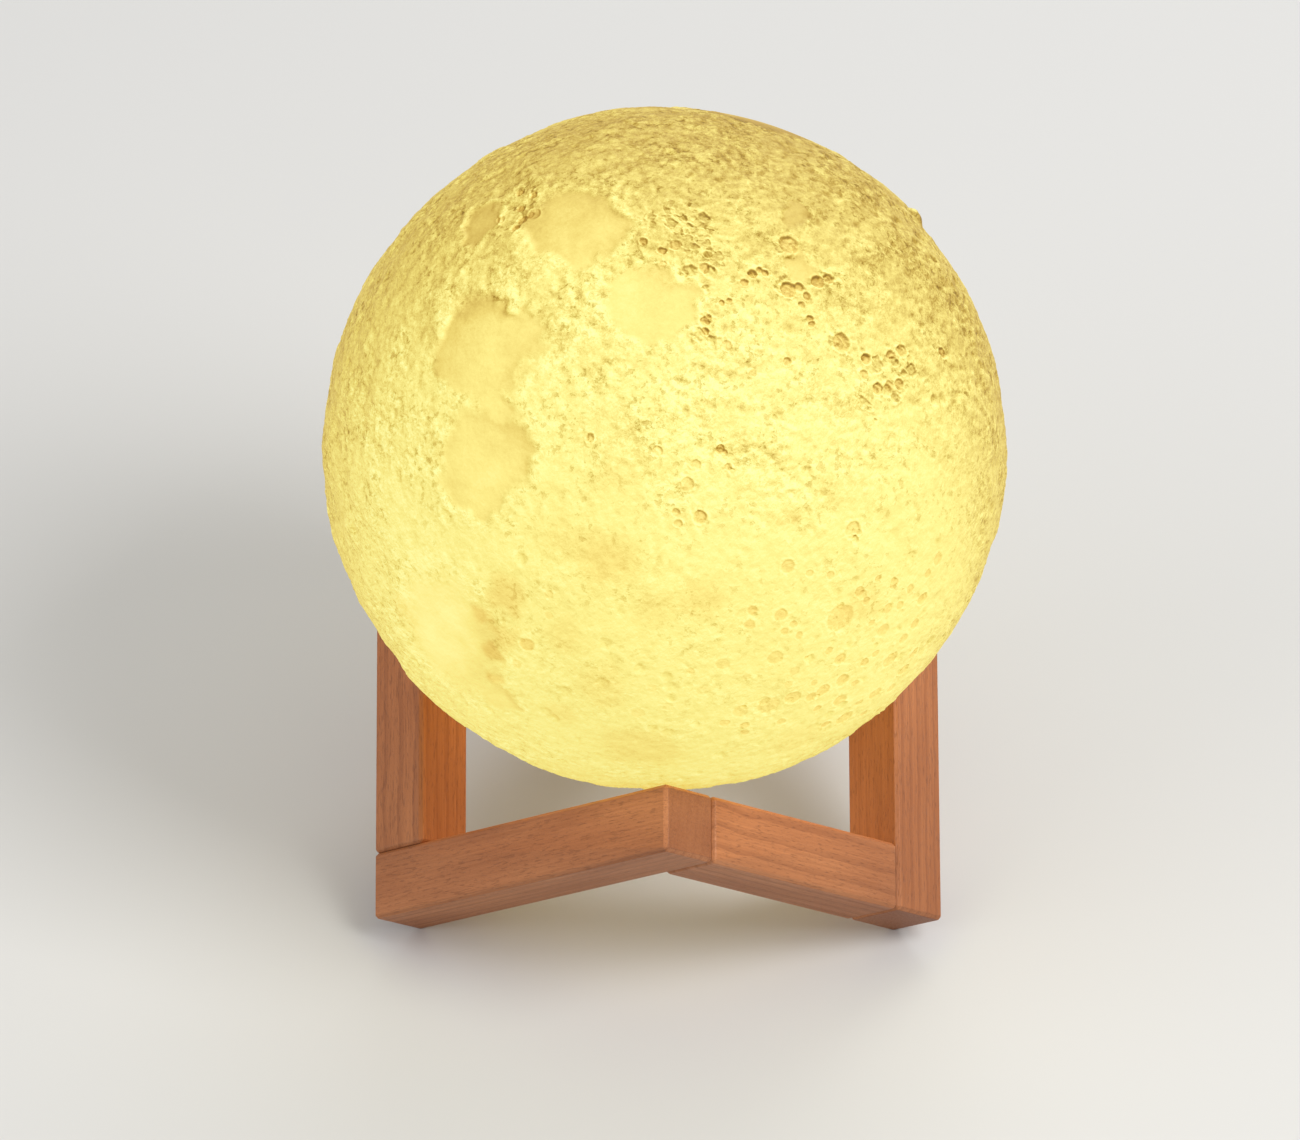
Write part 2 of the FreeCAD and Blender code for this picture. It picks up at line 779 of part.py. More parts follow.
def battery():
    """A flat pouch cell on a foam pad under the housing's ceiling, its connector and its leads."""
    bottom = f"({CEILING_UNDER} - pad_thick - battery_thick)"
    cell = raised(block("battery_block", "battery_long", "battery_wide", "battery_thick"), bottom)
    rounded = doc.addObject("Part::Fillet", "battery_cell")
    rounded.Base = cell
    doc.recompute()
    radius = value("battery_round")
    along = [
        number
        for number, edge in enumerate(cell.Shape.Edges, start=1)
        if abs(edge.tangentAt(0).x) > 0.9
    ]
    rounded.Edges = [(number, radius, radius) for number in along]
    engine(rounded, "battery_cell")

    pad_long = "battery_long - 2 * battery_round"
    pad_wide = "battery_wide - 2 * battery_round"
    pad = raised(block("battery_pad", pad_long, pad_wide, "pad_thick"), f"{CEILING_UNDER} - pad_thick")
    subpart(pad, "battery_pad", ENGINE_PLACE * pad.Placement)

    place = "-(battery_long / 2 - connector_long)"
    connector = block("battery_connector", "connector_long", "connector_wide", "connector_high")
    raised(connector, BOARD_TOP, place)
    subpart(connector, "battery_connector", ENGINE_PLACE * connector.Placement)

    start = f"({BOARD_TOP} + connector_high)"
    lead = raised(block("battery_lead", "lead_thick", "lead_wide", f"{bottom} - {start}"), start, place)
    subpart(lead, "battery_lead", ENGINE_PLACE * lead.Placement)


def led_board():
    """The light board on the housing's roof, with six lamps and its flat lead."""
    body = doc.addObject("PartDesign::Body", "led_board")
    disc = circles(body, "XY_Plane", [(0, 0, "led_board_radius")], "housing_height")
    feature(body, "Pad", disc, "board_thick")
    engine(body, "led_board")

    lamps = []
    for number in range(LED_COUNT):
        lamp = block(f"led_{number + 1}", "led_side", "led_side", "led_high")
        raised(lamp, "housing_height + board_thick", "led_circle")
        lamp.Placement = turned_about_z((number + 0.5) * 360 / LED_COUNT) * lamp.Placement
        lamps.append(lamp)
    engine(group("leds", lamps), "leds")

    lead = block("led_lead", "lead_thick", "lead_wide", f"housing_height - {BOARD_TOP}")
    raised(lead, BOARD_TOP, LEAD_PLACE)
    subpart(lead, "led_lead", ENGINE_PLACE * lead.Placement)


# ---------------------------------------------------------- the whole lamp

for number, side in enumerate(BAR_SIDES):
    long_bar(side, number * ROUND_STEP)
for number, side in enumerate(SHORT_BAR_SIDES):
    short_bar(side, number * ROUND_STEP)
stand_pegs()
moon_shell()
engine_housing()
base_cover()
cover_screws()
power_button()
switch()
charge_socket()
charge_light()
main_board()
board_chips()
battery()
led_board()
doc.recompute()

for obj in doc.Objects:
    if "Invalid" in obj.State or "Error" in obj.State:
        raise RuntimeError(f"{obj.Name} did not build: {obj.State}")
for obj in subparts:
    if obj.Shape.isNull() or not obj.Shape.isValid() or not obj.Shape.Solids:
        raise RuntimeError(f"{obj.Label} is not a valid solid")

os.makedirs("parts", exist_ok=True)
for obj in subparts:
    obj.Shape.exportStep(os.path.join("parts", f"{obj.Label}.step"))
print(f"{len(subparts)} sub-parts, globe centre at {globe_height:.3f} mm, seat ring at {BASE:.3f} mm")
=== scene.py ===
"""The lit moon globe on its beech cradle, dressed over the CAD frame, with the camera and the studio."""
import json
import math
import random
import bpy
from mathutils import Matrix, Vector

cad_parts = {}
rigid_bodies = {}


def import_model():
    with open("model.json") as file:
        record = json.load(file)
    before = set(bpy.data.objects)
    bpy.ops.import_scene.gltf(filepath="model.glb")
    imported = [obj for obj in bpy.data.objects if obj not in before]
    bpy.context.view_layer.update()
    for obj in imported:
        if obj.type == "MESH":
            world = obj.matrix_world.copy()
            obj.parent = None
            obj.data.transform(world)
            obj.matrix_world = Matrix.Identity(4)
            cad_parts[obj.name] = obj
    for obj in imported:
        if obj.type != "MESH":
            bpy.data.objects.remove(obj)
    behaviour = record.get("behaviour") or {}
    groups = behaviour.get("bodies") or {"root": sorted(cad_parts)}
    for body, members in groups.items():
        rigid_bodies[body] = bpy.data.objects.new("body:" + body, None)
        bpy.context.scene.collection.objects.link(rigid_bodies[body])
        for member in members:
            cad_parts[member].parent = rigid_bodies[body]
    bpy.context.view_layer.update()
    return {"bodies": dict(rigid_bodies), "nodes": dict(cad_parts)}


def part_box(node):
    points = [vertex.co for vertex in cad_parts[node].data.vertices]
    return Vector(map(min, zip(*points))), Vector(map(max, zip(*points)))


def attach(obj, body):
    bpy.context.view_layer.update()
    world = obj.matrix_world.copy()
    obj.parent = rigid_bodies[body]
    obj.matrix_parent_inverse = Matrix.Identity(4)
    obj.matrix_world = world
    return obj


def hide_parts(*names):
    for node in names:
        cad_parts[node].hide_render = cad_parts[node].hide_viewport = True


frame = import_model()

from types import SimpleNamespace

import bmesh
import bpy
import numpy as np
from mathutils import Matrix, Vector, noise

MM = 0.001
noise.seed_set(4)

# the globe: its shell stands on the seat ring, in which the neck opens to the smooth inside
RADIUS = 75 * MM
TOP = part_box("moon_shell")[1][2]
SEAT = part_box("moon_shell")[0][2]
CENTRE = Vector((0, 0, TOP - RADIUS))
OPENING_RADIUS = 19 * MM
NECK_RADIUS = 22 * MM
NECK_HEIGHT = 8 * MM
INSIDE_RADIUS = 72.3 * MM

BARS = [f"long_bar_{side}" for side in ("left", "right", "back")]
BARS += [f"short_bar_{side}" for side in ("front", "right", "left")]

# Forms that were read from the photograph. Each begins with its pixel there, across and down, which
# seen() turns into a place on the globe; sizes are in mm.
# smooth plains: pixel, half width, half height, how dark they are, and the side, east and north, on which
# they are darkest
PLAINS = (
    (650, 303, 11.0, 8.6, 0.03, 0.0, 0.2),
    (572, 222, 12.0, 10.0, 0.04, 0.0, 0.0),
    (476, 224, 6.4, 5.3, 0.10, 0.0, 0.0),
    (480, 346, 12.5, 11.6, 0.09, -0.7, -0.5),
    (517, 332, 6.6, 6.6, 0.09, 0.0, 0.0),
    (495, 402, 6.2, 4.0, 0.07, 0.0, 0.0),
    (481, 453, 11.0, 13.0, 0.07, 0.3, -0.9),
    (486, 500, 5.0, 5.4, 0.09, 0.0, -0.5),
    (445, 636, 13.9, 17.1, -0.02, 1.0, 0.2),
    (496, 699, 6.4, 4.3, 0.05, 1.0, 0.0),
    (798, 214, 5.3, 3.8, 0.10, 0.0, 0.0),
    (800, 266, 5.0, 3.4, 0.10, 0.0, 0.0),
)
# craters: pixel, radius, strength
CRATERS = (
    # upper right, then the middle and the left
    (662.4, 249, 1.0, 1.00), (704, 267, 1.1, 0.70), (753, 273, 1.1, 1.00), (760, 269, 0.8, 0.90),
    (766, 272, 0.9, 0.90), (745, 281, 0.9, 0.90), (790, 244, 2.6, 0.55), (790, 288, 1.9, 0.80),
    (800, 286, 1.1, 0.90), (819, 281, 1.5, 0.85), (829, 278, 1.3, 0.70), (811, 317, 0.8, 1.00),
    (813, 323, 0.8, 1.00), (803, 303, 0.8, 0.60), (808, 295, 0.9, 0.90), (843, 342, 2.1, 0.60),
    (840, 341, 1.1, 0.70), (868, 358, 1.3, 1.00), (893, 354, 1.1, 0.80), (904, 350, 1.5, 0.50),
    (945, 352, 1.3, 0.70), (880, 388, 1.5, 0.70), (892, 385, 1.1, 0.60), (901, 384, 1.3, 0.60),
    (866, 374, 1.1, 0.50), (789, 361, 1.0, 0.60), (753, 373, 0.8, 0.40), (705, 320, 1.1, 0.90),
    (709, 316, 0.8, 0.80), (706, 330, 0.9, 0.80), (722, 302, 0.8, 0.90), (730, 299, 0.6, 0.90),
    (727, 345, 1.1, 0.50), (720.4, 449, 1.0, 0.90), (725, 452, 0.6, 0.80), (700, 518, 1.7, 0.60),
    (729, 467, 1.0, 0.50), (854, 531, 1.9, 0.35), (696, 465, 1.3, 0.35), (687, 484, 1.5, 0.35),
    (676, 513, 0.9, 0.50), (678, 524, 0.9, 0.50), (589, 438, 1.0, 0.50), (657, 451, 1.1, 0.40),
    (525.8, 645.8, 1.7, 0.75), (515.5, 665, 1.3, 0.35), (548, 617, 1.1, 0.35), (548, 596, 1.1, 0.30),
    (514, 226, 1.3, 0.80), (521, 217, 1.3, 0.70), (529, 213, 1.1, 0.60), (519, 206, 1.0, 0.80),
    (519, 191, 1.1, 0.80), (533, 193, 1.1, 0.70), (499, 218, 1.1, 0.40), (532, 212, 1.7, 0.30),
    (643, 240, 0.9, 0.70), (663, 263, 0.9, 0.40), (675, 244, 1.3, 0.60),
    # the soft round ones low on the right
    (841.6, 619.5, 3.6, 0.54), (775.7, 658.8, 2.0, 0.47), (723, 666, 1.5, 0.38), (690.7, 672.6, 0.9, 0.41),
    (753, 611.6, 1.1, 0.74), (750.6, 625.9, 1.3, 0.68), (781, 616, 1.7, 0.68), (799.7, 636.5, 0.9, 0.68),
    (794, 625, 0.9, 0.68), (785, 632, 1.0, 0.68), (740.6, 713, 2.1, 0.41), (769.3, 707.7, 2.9, 0.41),
    (793.7, 699.2, 1.9, 0.54), (823.5, 691.7, 1.7, 0.74), (843.7, 682.2, 1.9, 0.68),
    (841.5, 661, 1.7, 0.68), (866, 664, 1.2, 0.81), (840.5, 702.4, 1.9, 0.68), (845.8, 720.4, 2.1, 0.61),
    (826.7, 726.8, 1.5, 0.68), (876.6, 695, 1.7, 0.61), (891.5, 662, 2.1, 0.54), (811.8, 698, 1.5, 0.68),
    (818, 709.8, 1.0, 0.81), (724.7, 724.7, 1.2, 0.54), (744.9, 726.8, 1.1, 0.61),
    (744.9, 734.2, 1.1, 0.54), (788.4, 567.4, 1.5, 0.47), (782, 723.6, 1.1, 0.54), (637.6, 715, 1.5, 0.27),
    (811, 574, 1.0, 0.54), (832, 576, 0.9, 0.54), (861, 593, 1.2, 0.81), (868, 602, 1.0, 0.81),
    (880, 580, 1.0, 0.81), (896, 585, 1.2, 0.68), (885, 632, 1.7, 0.61), (873, 625, 1.0, 0.68),
    (890, 610, 1.2, 0.68), (902, 607, 1.2, 0.68), (912, 590, 1.2, 0.68), (807, 659, 0.7, 0.81),
    (830, 652, 1.0, 0.68), (877, 655, 1.0, 0.68), (856, 685, 1.0, 0.68), (860, 705, 1.2, 0.54),
    (870, 722, 1.5, 0.54), (865, 715, 1.0, 0.54), (815, 684, 1.0, 0.54), (795, 672, 1.2, 0.34),
    (789, 685, 1.0, 0.41), (747, 678, 1.0, 0.27), (704, 692, 1.7, 0.20), (652, 690, 1.2, 0.20),
    (668, 708, 1.2, 0.20), (905, 640, 1.5, 0.61), (917, 625, 1.2, 0.68), (925, 600, 1.5, 0.61),
    (930, 575, 1.2, 0.68), (940, 560, 1.5, 0.68), (915, 655, 1.5, 0.54), (905, 672, 1.5, 0.54),
    (892, 690, 1.5, 0.54), (880, 712, 1.5, 0.54),
)
RANDOM_CRATERS = 1500
# crowds of small pits: pixel, spread, how many
CROWDS = (
    (695, 227, 4.6, 15), (701, 249, 3.2, 9), (716, 255, 2.2, 4), (659, 219, 2.4, 5),
    (870, 400, 5.0, 6), (900, 370, 4.0, 5), (706, 333, 2.0, 4), (699, 274, 4.0, 4),
)
# a lump that stands proud on the right: its pixel, and its height (mm)
BOULDER = (917, 215)
BOULDER_HEIGHT = 1.1
# soft amber clouds: pixel, radius, strength
CLOUDS = (
    (603, 560, 10.5, 0.75), (560, 540, 7.0, 0.4), (504, 599, 6.0, 0.85), (502, 636, 5.0, 0.8),
    (860, 612, 8.0, 0.5), (700, 602, 7.0, 0.5), (660, 612, 6.5, 0.4), (779, 524.5, 2.1, 0.9),
    (795, 521, 1.2, 0.8), (570, 640, 6.0, 0.4), (600, 690, 8.0, 0.4), (560, 716, 6.0, 0.4),
    (620, 480, 6.5, 0.25), (850, 480, 8.0, 0.15), (400, 610, 5.0, 0.35), (640, 751, 12.0, 0.5),
    (802, 739, 9.0, 0.3), (481, 614, 3.4, 0.9), (489, 651, 3.2, 1.0), (496, 682, 3.0, 1.0),
)

# the noises of the relief: feature size (mm), octaves, and an offset that keeps them apart
NOISES = {
    "hills": (7, 4, 1.0), "grit": (1.9, 3, 7.0), "pits": (2.2, 2, 13.0), "regions": (45, 2, 21.0),
    "mottle": (9, 4, 31.0), "patches": (13, 3, 41.0), "steps": (17, 5, 51.0), "softness": (20, 2, 61.0),
}
# the levels of the slow noise at which the skin steps up
CLIFF_LEVELS = (-0.3, -0.1, 0.08, 0.26, 0.42)
# how deep each form lies under the full radius or, below 0, how far it rises (mm)
DEPTHS = {
    "skin": 0.46, "plain": 0.16, "hills": -0.24, "grit": -0.20, "cliffs": -0.16, "pits": 0.22,
    "crowds": 0.8, "around": -0.08, "deepest": 1.25,
}
# how much each form adds to the glow or takes from it, where 1 is the palest; the limb and the far top are
# painted shade, and tilt is painted light
GLOWS = {
    "skin": 0.84, "limb": -0.31, "painted_far_top_shade": -0.09, "regions": 0.02, "hills": 0.03, "grit": 0.09,
    "around": 0.05, "edge": -0.055, "clouds": -0.10, "inner": 0.05, "mottle": 0.07, "pits": -0.09,
    "floor": -0.05, "wall": -0.07, "rim": 0.04, "spot_floor": -0.14, "spot_rim": 0.06,
    "crowd_floor": -0.20, "crowd_wall": -0.08, "painted_tilt_light": 0.55,
}
# the glow's colours, from thick to thin skin
GLOW_COLORS = (
    (0.15, (0.18, 0.09, 0.010, 1)), (0.42, (0.42, 0.26, 0.030, 1)), (0.66, (0.61, 0.47, 0.075, 1)),
    (0.82, (0.71, 0.62, 0.145, 1)), (1.0, (0.79, 0.77, 0.29, 1)),
)
AMBER = (1.0, 0.86, 0.66, 1)

# the six bars lie along three directions at right angles, each leaning as steeply as the others
LEAN = (
    Vector((-math.sqrt(1 / 2), -math.sqrt(1 / 6), math.sqrt(1 / 3))),
    Vector((math.sqrt(1 / 2), -math.sqrt(1 / 6), math.sqrt(1 / 3))),
    Vector((0, math.sqrt(2 / 3), math.sqrt(1 / 3))),
)
# the spacing of the beech's growth rings, and that of a wave texture's rings at scale 1
GROWTH_RING = 2.6 * MM
WAVE_STEP = 0.3142
# the rounds along edges and the radius of a screw's head (mm)
BAR_EASE = 0.35
COVER_EASE = 0.15
SCREW_HEAD = 2.20
BLACK = (0, 0, 0, 1)

# the photograph's view: its size and the focal length in its pixels, the sensor (mm), angles (radians),
# the distance (m) and the point at the picture's middle (mm)
PHOTO_WIDTH, PHOTO_HEIGHT = 1300, 1140
FOCAL_PIXELS = 8148
SENSOR = 36
VIEW_TURN, VIEW_RISE, VIEW_ROLL = -0.0324336, 0.675723, 0.0237994
VIEW_DISTANCE = 1.80216
VIEW_TARGET = (-2.530, 0, 78.132)
# studio lights: name, place and side (m), power (W)
LAMPS = (
    ("key", (0.85, -0.60, 1.25), 0.7, 17),
    ("fill", (-1.1, -0.6, 0.8), 1.1, 6),
    ("rim", (0.3, 1.2, 0.9), 0.9, 7),
)
AIM = Vector((0, 0, 0.08))
SKY = 0.45
FLOOR_HALF = 6.0
# the globe's light on the bars: power (W), colour, and size as a share of the globe
GLOW_POWER = 0.7
GLOW_COLOR = (1.0, 0.62, 0.26)
GLOW_SIZE = 0.9


def srgb(red, green, blue):
    """A colour of 0 to 255 per channel as the linear values that sockets take."""
    def linear(level):
        level /= 255
        return level / 12.92 if level <= 0.04045 else ((level + 0.055) / 1.055) ** 2.4

    return (linear(red), linear(green), linear(blue), 1)


def mixed(a, b, share):
    """The colour that lies a share of the way from a to b."""
    return tuple(p + (q - p) * share for p, q in zip(a, b))


class Look:
    """A node material that is put together from the shader backwards."""

    def __init__(self, name, color, roughness, **inputs):
        self.material = bpy.data.materials.new(name)
        self.material.use_nodes = True
        self.tree = self.material.node_tree
        self.shader = self.tree.nodes["Principled BSDF"]
        self.place = self.node("TexCoord").outputs["Object"]
        self.set("Base Color", color)
        self.set("Roughness", roughness)
        for key, value in inputs.items():
            self.set(key.replace("_", " "), value)

    def set(self, socket, value):
        """Feeds an input of the shader itself."""
        self.feed(self.shader.inputs[socket], value)

    def feed(self, socket, value):
        """Gives a socket a value, or links it to an output."""
        if isinstance(value, bpy.types.NodeSocket):
            self.tree.links.new(value, socket)
        else:
            socket.default_value = value

    def node(self, kind, inputs=None, **settings):
        """A new node with its inputs fed and its settings made."""
        new = self.tree.nodes.new("ShaderNode" + kind)
        for key, value in settings.items():
            setattr(new, key, value)
        for key, value in (inputs or {}).items():
            self.feed(new.inputs[key], value)
        return new

    def math(self, operation, a, b=0.0, c=0.0):
        return self.node("Math", {0: a, 1: b, 2: c}, operation=operation).outputs[0]

    def product(self, a, b):
        return self.math("MULTIPLY", a, b)

    def steps(self, value, low, high, from_=0.0, to=1.0):
        """A smooth rise from from_ at low to to at high."""
        inputs = {"Value": value, 1: low, 2: high, 3: from_, 4: to}
        return self.node("MapRange", inputs, interpolation_type="SMOOTHSTEP").outputs[0]

    def mix(self, share, a, b, blend="MIX"):
        """Colour a with a share of b over it."""
        return self.node("Mix", {0: share, 6: a, 7: b}, data_type="RGBA", blend_type=blend).outputs[2]

    def vector(self, operation, a, b):
        return self.node("VectorMath", {0: a, 1: b}, operation=operation).outputs[0]

    def turned(self, place, turn):
        return self.node("Mapping", {"Vector": place, "Rotation": turn}).outputs[0]

    def stretched(self, scale, place=None):
        """The place scaled along each axis."""
        start = self.place if place is None else place
        return self.node("Mapping", {"Vector": start, "Scale": scale}).outputs[0]

    def noise(self, size, place=None, detail=2.0, rough=0.5, output="Fac"):
        """Noise with features of about the size given, in mm."""
        start = self.place if place is None else place
        inputs = {"Vector": start, "Scale": 1 / (size * MM), "Detail": detail, "Roughness": rough}
        return self.node("TexNoise", inputs).outputs[output]

    def bump(self, height, depth):
        """Bumps of the given depth in mm."""
        return self.node("Bump", {"Height": height, "Distance": depth * MM}).outputs[0]


def plastic(name, color, roughness, grain=0.25, depth=0.02, **inputs):
    """Moulded plastic: an even texture of a grain and a depth in mm, a little cloudy in tone and gloss."""
    look = Look(name, color, roughness, **inputs)
    cloud = look.noise(9, detail=3)
    fine = look.noise(grain, detail=1)
    look.set("Base Color", look.mix(look.steps(cloud, 0.3, 0.7), mixed(color, BLACK, 0.07), color))
    look.set("Roughness", look.steps(cloud, 0.2, 0.8, roughness - 0.05, roughness + 0.06))
    look.set("Normal", look.bump(fine, depth))
    return look.material


def metal(name, color, roughness, size=(0.4, 0.4, 4.0)):
    """Brushed or plated metal: fine drawn lines of a size in mm, and slight tarnish."""
    look = Look(name, color, roughness, Metallic=1.0)
    lines = look.noise(1, look.stretched([1 / s for s in size]), detail=2)
    spots = look.noise(2.5, detail=3)
    tarnished = mixed(color, (0.2, 0.17, 0.13, 1), 0.25)
    look.set("Base Color", look.mix(look.steps(spots, 0.45, 0.75), color, tarnished))
    look.set("Roughness", look.steps(lines, 0.3, 0.7, roughness - 0.07, roughness + 0.1))
    look.set("Normal", look.bump(lines, 0.01))
    return look.material


def beech(name, along, across, up, number):
    """Steamed beech: growth rings round a pith outside the bar, short dark flecks, darker end grain."""
    light, mid, dark = srgb(186, 122, 77), srgb(161, 99, 59), srgb(112, 61, 33)
    look = Look(name, mid, 0.5)
    turn = Matrix((along, across, up)).to_euler("XYZ")
    pith = (0.31 * number, 0.034 + 0.011 * number, (-1) ** number * (0.05 + 0.007 * number))
    inside = look.node("Mapping", {"Vector": look.turned(look.place, turn), "Location": pith}).outputs[0]

    def streaks(long, thin, **settings):
        """Noise drawn out along the bar, its streaks of a length and a thickness in mm."""
        return look.noise(1, look.stretched((1 / long, 1 / thin, 1 / thin), inside), **settings)

    rings = look.node("TexWave", {
        "Vector": inside, "Scale": WAVE_STEP / GROWTH_RING, "Distortion": 2.2, "Detail": 2.0,
        "Detail Scale": 0.6, "Detail Roughness": 0.5,
    }, wave_type="RINGS", rings_direction="X", wave_profile="SAW").outputs["Fac"]
    fibre = streaks(26, 0.55, detail=3, rough=0.6)
    fleck = look.steps(streaks(2.2, 0.30, detail=1, rough=0.4), 0.58, 0.70)
    pores = look.steps(streaks(0.9, 0.16, detail=1), 0.62, 0.72)
    facing = look.turned(look.node("TexCoord").outputs["Normal"], turn)
    facing = look.node("SeparateXYZ", {0: facing}).outputs[0]
    end = look.steps(look.math("ABSOLUTE", facing), 0.75, 0.92)
    side = look.math("SUBTRACT", 1.0, end)
    rings = look.steps(rings, 0.55, 1.0, 0.0, 0.34)
    rings = look.product(rings, look.math("MULTIPLY_ADD", side, 0.65, 0.35))
    tone = look.mix(look.steps(streaks(60, 14, detail=2), 0.25, 0.75), mid, light)
    for share, color in (
        (rings, dark),
        (look.steps(fibre, 0.3, 0.75, 0.0, 0.42), mixed(dark, mid, 0.4)),
        (look.product(fleck, 0.34), mixed(dark, BLACK, 0.25)),
        (look.product(pores, look.math("MULTIPLY_ADD", end, 0.35, 0.25)), dark),
        (look.product(end, 0.42), mixed(dark, BLACK, 0.15)),
    ):
        tone = look.mix(share, tone, color)
    look.set("Base Color", tone)
    look.set("Roughness", look.steps(fibre, 0.2, 0.8, 0.42, 0.58))
    look.set("Specular IOR Level", 0.4)
    relief = look.math("ADD", look.product(fleck, -0.6), look.product(pores, -0.5))
    relief = look.math("ADD", relief, look.product(fibre, 0.8))
    look.set("Normal", look.bump(relief, 0.06))
    return look.material


def piece(name, mesh, body, slot, *materials):
    """A new object of the scene that rides on a body and takes the materials given; its slot is not used."""
    thing = bpy.data.objects.new(name, mesh)
    bpy.context.scene.collection.objects.link(thing)
    for material in materials:
        mesh.materials.append(material)
    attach(thing, body)
    return thing


def dress(node, material):
    """Gives a CAD node its material."""
    thing = frame["nodes"][node]
    if not thing.material_slots:
        thing.data.materials.append(material)
    for place in thing.material_slots:
        place.material = material


# the photograph's view and what it shows on the globe

def view():
    """The place of the photograph's camera, and the directions to its right, up and back."""
    flat = math.cos(VIEW_RISE)
    away = Vector((math.sin(VIEW_TURN) * flat, -math.cos(VIEW_TURN) * flat, math.sin(VIEW_RISE)))
    level = away.cross(Vector((0, 0, -1))).normalized()
    raised = away.cross(level)
    right = level * math.cos(VIEW_ROLL) + raised * math.sin(VIEW_ROLL)
    upward = raised * math.cos(VIEW_ROLL) - level * math.sin(VIEW_ROLL)
    return Vector(VIEW_TARGET) * MM + away * VIEW_DISTANCE, right, upward, away


def seen(across, down):
    """The turn from the front and the height angle, in degrees, of the globe's skin at a pixel."""
    eye, right, upward, away = view()
    ray = right * (across - PHOTO_WIDTH / 2) + upward * (PHOTO_HEIGHT / 2 - down) - away * FOCAL_PIXELS
    ray.normalize()
    closest = eye + ray * (CENTRE - eye).dot(ray) - CENTRE
    inward = math.sqrt(max(RADIUS**2 - closest.length_squared, 0))
    way = (closest - ray * inward).normalized()
    return math.degrees(math.atan2(way.x, -way.y)), math.degrees(math.asin(way.z))


def placed(rows):
    """Rows that begin with a pixel, each with the turn and the height angle there instead."""
    return tuple((*seen(across, down), *rest) for across, down, *rest in rows)


# the globe's skin

def apart(ways, middle):
    """How far directions lie from a middle one, over the skin, in mm."""
    return np.arccos(np.clip(ways @ middle, -1, 1)) * RADIUS / MM


def direction(turn, height):
    """Unit directions at a turn from the front and a height angle, in degrees."""
    turn, height = np.radians(turn), np.radians(height)
    level = np.cos(height)
    return np.stack((level * np.sin(turn), -level * np.cos(turn), np.sin(height)), axis=-1)


def smooth(value, low, high):
    """A smooth rise from 0 at low to 1 at high."""
    share = np.clip((value - low) / (high - low), 0, 1)
    return share * share * (3 - 2 * share)


def field(ways, size, octaves, offset):
    """Fractal noise over the skin with features of a size in mm, about -1 to 1."""
    scale = RADIUS / MM / size
    shift = Vector((offset, offset * 1.7, -offset))
    return np.array([noise.fractal(Vector(w) * scale + shift, 1.0, 2.0, octaves) for w in ways])


def warped(ways, size, amount, offset=0.0):
    """Directions moved about by noise of a size and an amount in mm."""
    scale = RADIUS / MM / size
    shift = Vector((offset, -offset, offset * 0.6))
    moves = np.array([noise.noise_vector(Vector(w) * scale + shift) for w in ways])
    moved = ways + moves * (amount * MM / RADIUS)
    return moved / np.linalg.norm(moved, axis=1)[:, None]


def plain_depth(ways):
    """How deep in a plain each direction lies, 0 at its edge and 1 in its middle, and how dark it is."""
    depth, tone = np.full(len(ways), -1.0), np.zeros(len(ways))
    for turn, height, wide, high, dark, to_east, to_north in placed(PLAINS) + BACK_PLAINS:
        middle = direction(turn, height)
        east = direction(turn + 90, 0)
        north = np.cross(middle, east) * -1
        across, up = (ways @ axis * RADIUS / MM / half for axis, half in ((east, wide), (north, high)))
        here = np.where(ways @ middle > 0, 1 - np.hypot(across, up), -1)
        shade = dark + 0.13 * smooth(across * to_east + up * to_north, 0.0, 1.0)
        tone = np.where(here > depth, shade, tone)
        depth = np.maximum(depth, here)
    return depth, tone


def random_plains():
    """Plains for the half that the photograph doesn't show."""
    draw = random.Random(11)
    return tuple(
        (draw.uniform(118, 250), draw.uniform(-50, 52), draw.uniform(6, 15), draw.uniform(5, 13),
         draw.uniform(0.03, 0.08), draw.uniform(-1, 1), draw.uniform(-1, 1)) for _ in range(9)
    )


def random_craters():
    """Craters all over: many small, few large, and fewer on the calm upper left of the front."""
    draw = random.Random(5)
    found = []
    while len(found) < RANDOM_CRATERS:
        turn, height = draw.uniform(-180, 180), math.degrees(math.asin(draw.uniform(-0.94, 1)))
        size = 0.62 * draw.uniform(0.03, 1) ** -0.40
        largest = 4.2 if abs(turn) > 100 else 1.5
        busy = 1.0 if turn > 25 or turn < -100 or height < 5 else 0.4
        if draw.random() < busy:
            found.append((turn, height, min(size, largest), draw.uniform(0.3, 1.0)))
    return tuple(found)


def crowded_pits():
    """The small pits of each crowd."""
    draw = random.Random(8)
    found = []
    for turn, height, spread, count in placed(CROWDS):
        reach = math.degrees(spread * MM / RADIUS)
        level = math.cos(math.radians(height))
        for _ in range(count):
            found.append((turn + draw.gauss(0, 0.6) * reach / level, height + draw.gauss(0, 0.6) * reach,
                          draw.uniform(0.5, 1.5), draw.uniform(0.4, 0.9)))
    return tuple(found)


BACK_PLAINS = random_plains()
PITS = crowded_pits()


